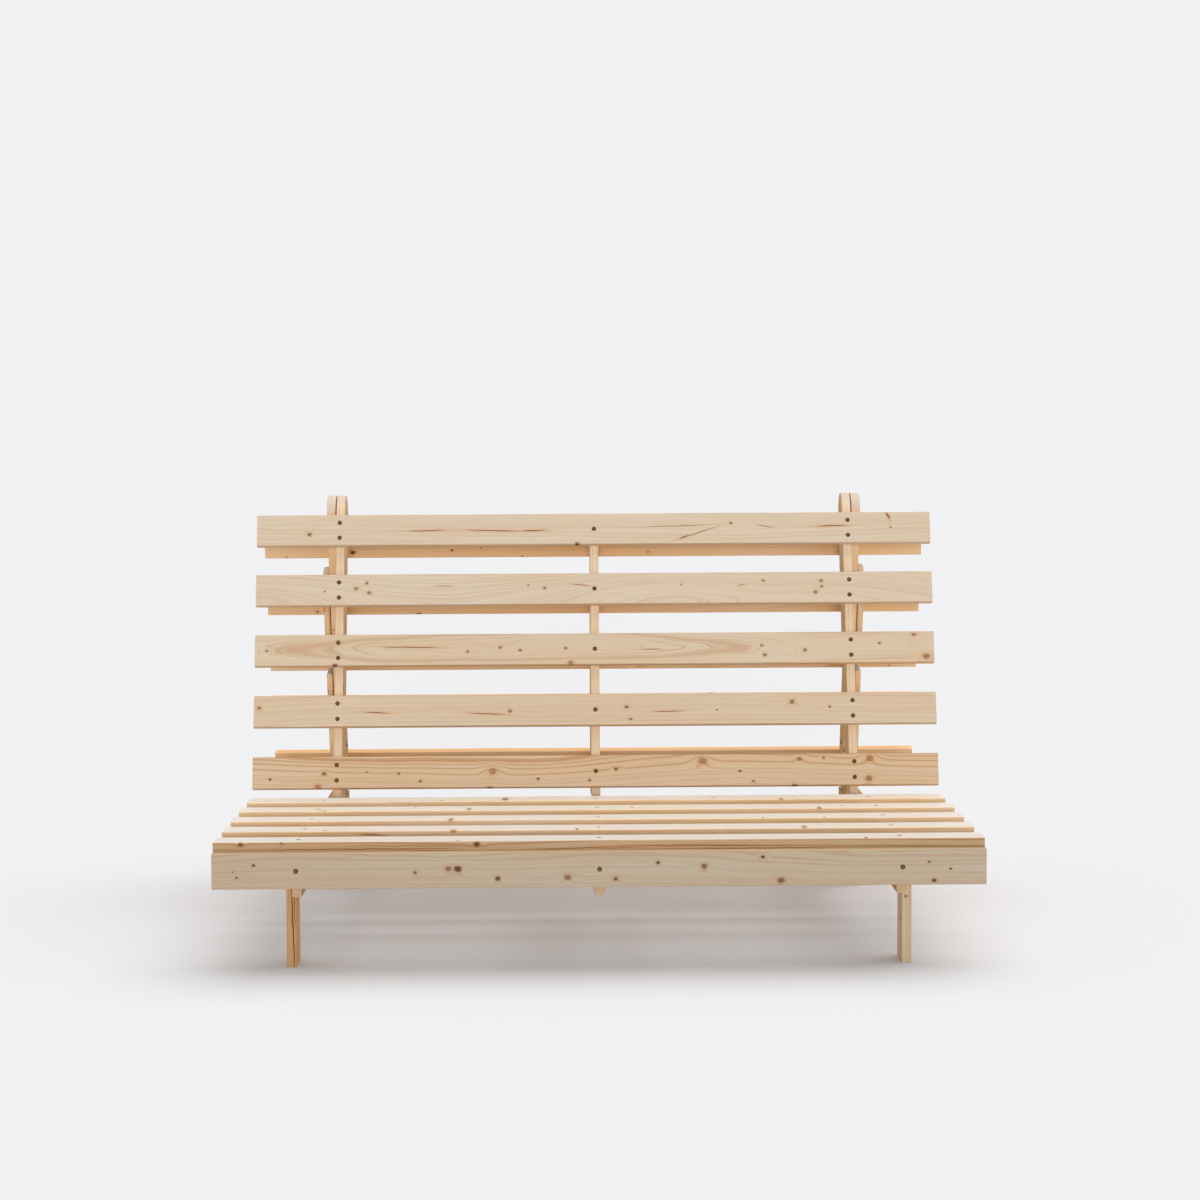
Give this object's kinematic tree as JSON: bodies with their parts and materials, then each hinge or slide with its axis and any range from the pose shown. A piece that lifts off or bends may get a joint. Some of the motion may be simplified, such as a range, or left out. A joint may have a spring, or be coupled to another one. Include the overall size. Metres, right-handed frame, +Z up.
{
  "type": "futon bench",
  "caption": "Knock-down pine futon bench: slatted seat on legs, slatted back and rear frame hinged as an A that unfolds flat into a bed.",
  "frame": {"origin": "on the floor, at the middle of the bench's width and depth", "axes": "+X to the sitter's left along the slats, +Y towards the back, +Z up"},
  "size_m": [1.4, 1.088, 0.8468],
  "materials": {
    "pine": "planed, unvarnished",
    "screw": "yellow zinc",
    "bolt": "zinc"
  },
  "bodies": {
    "seat": {"apron_screws": "screw", "front_apron": "pine", "front_leg_left": "pine", "front_leg_right": "pine", "leg_screws": "screw", "rear_leg_left": "pine", "rear_leg_right": "pine", "seat_hinge_bolts": "bolt", "seat_hinge_nuts": "bolt", "seat_hinge_washers": "bolt", "seat_rail_centre": "pine", "seat_rail_left": "pine", "seat_rail_right": "pine", "seat_slat_1": "pine", "seat_slat_2": "pine", "seat_slat_3": "pine", "seat_slat_4": "pine", "seat_slat_5": "pine", "seat_slat_screws": "screw"},
    "back": {"back_rail_centre": "pine", "back_rail_left": "pine", "back_rail_right": "pine", "back_slat_1": "pine", "back_slat_2": "pine", "back_slat_3": "pine", "back_slat_4": "pine", "back_slat_5": "pine", "back_slat_screws": "screw", "top_hinge_bolts": "bolt", "top_hinge_nuts": "bolt", "top_hinge_washers": "bolt"},
    "rear": {"leg_hinge_bolts": "bolt", "leg_hinge_nuts": "bolt", "leg_hinge_washers": "bolt", "rear_rail_centre": "pine", "rear_rail_left": "pine", "rear_rail_right": "pine", "rear_slat_1": "pine", "rear_slat_2": "pine", "rear_slat_3": "pine", "rear_slat_4": "pine", "rear_slat_5": "pine", "rear_slat_screws": "screw"},
    "middle_leg_left": {"middle_leg_left": "pine"},
    "middle_leg_right": {"middle_leg_right": "pine"},
    "end_leg_left": {"end_leg_left": "pine"},
    "end_leg_right": {"end_leg_right": "pine"}
  },
  "joints": [
    {"name": "back_fold", "type": "hinge", "parent": "seat", "child": "back", "pos_m": [0, 0.1213, 0.1825], "axis": [-1, 0, 0], "range_deg": [0, 74.2]},
    {"name": "rear_fold", "type": "hinge", "parent": "back", "child": "rear", "pos_m": [0, 0.29796, 0.80679], "axis": [1, 0, 0], "range_deg": [0, 146.8]},
    {"name": "middle_leg_left_swing", "type": "hinge", "parent": "rear", "child": "middle_leg_left", "pos_m": [0, 0.34416, 0.65936], "axis": [-1, 0, 0], "range_deg": [0, 90]},
    {"name": "middle_leg_right_swing", "type": "hinge", "parent": "rear", "child": "middle_leg_right", "pos_m": [0, 0.34416, 0.65936], "axis": [-1, 0, 0], "range_deg": [0, 90]},
    {"name": "end_leg_left_swing", "type": "hinge", "parent": "rear", "child": "end_leg_left", "pos_m": [0, 0.4566, 0.30056], "axis": [1, 0, 0], "range_deg": [0, 90]},
    {"name": "end_leg_right_swing", "type": "hinge", "parent": "rear", "child": "end_leg_right", "pos_m": [0, 0.4566, 0.30056], "axis": [1, 0, 0], "range_deg": [0, 90]}
  ],
  "couplings": [
    {"joint": "rear_fold", "follows": "back_fold", "ratio": 1.9784},
    {"joint": "middle_leg_left_swing", "follows": "back_fold", "ratio": 1.2129},
    {"joint": "middle_leg_right_swing", "follows": "back_fold", "ratio": 1.2129},
    {"joint": "end_leg_left_swing", "follows": "back_fold", "ratio": 1.2129},
    {"joint": "end_leg_right_swing", "follows": "back_fold", "ratio": 1.2129}
  ]
}
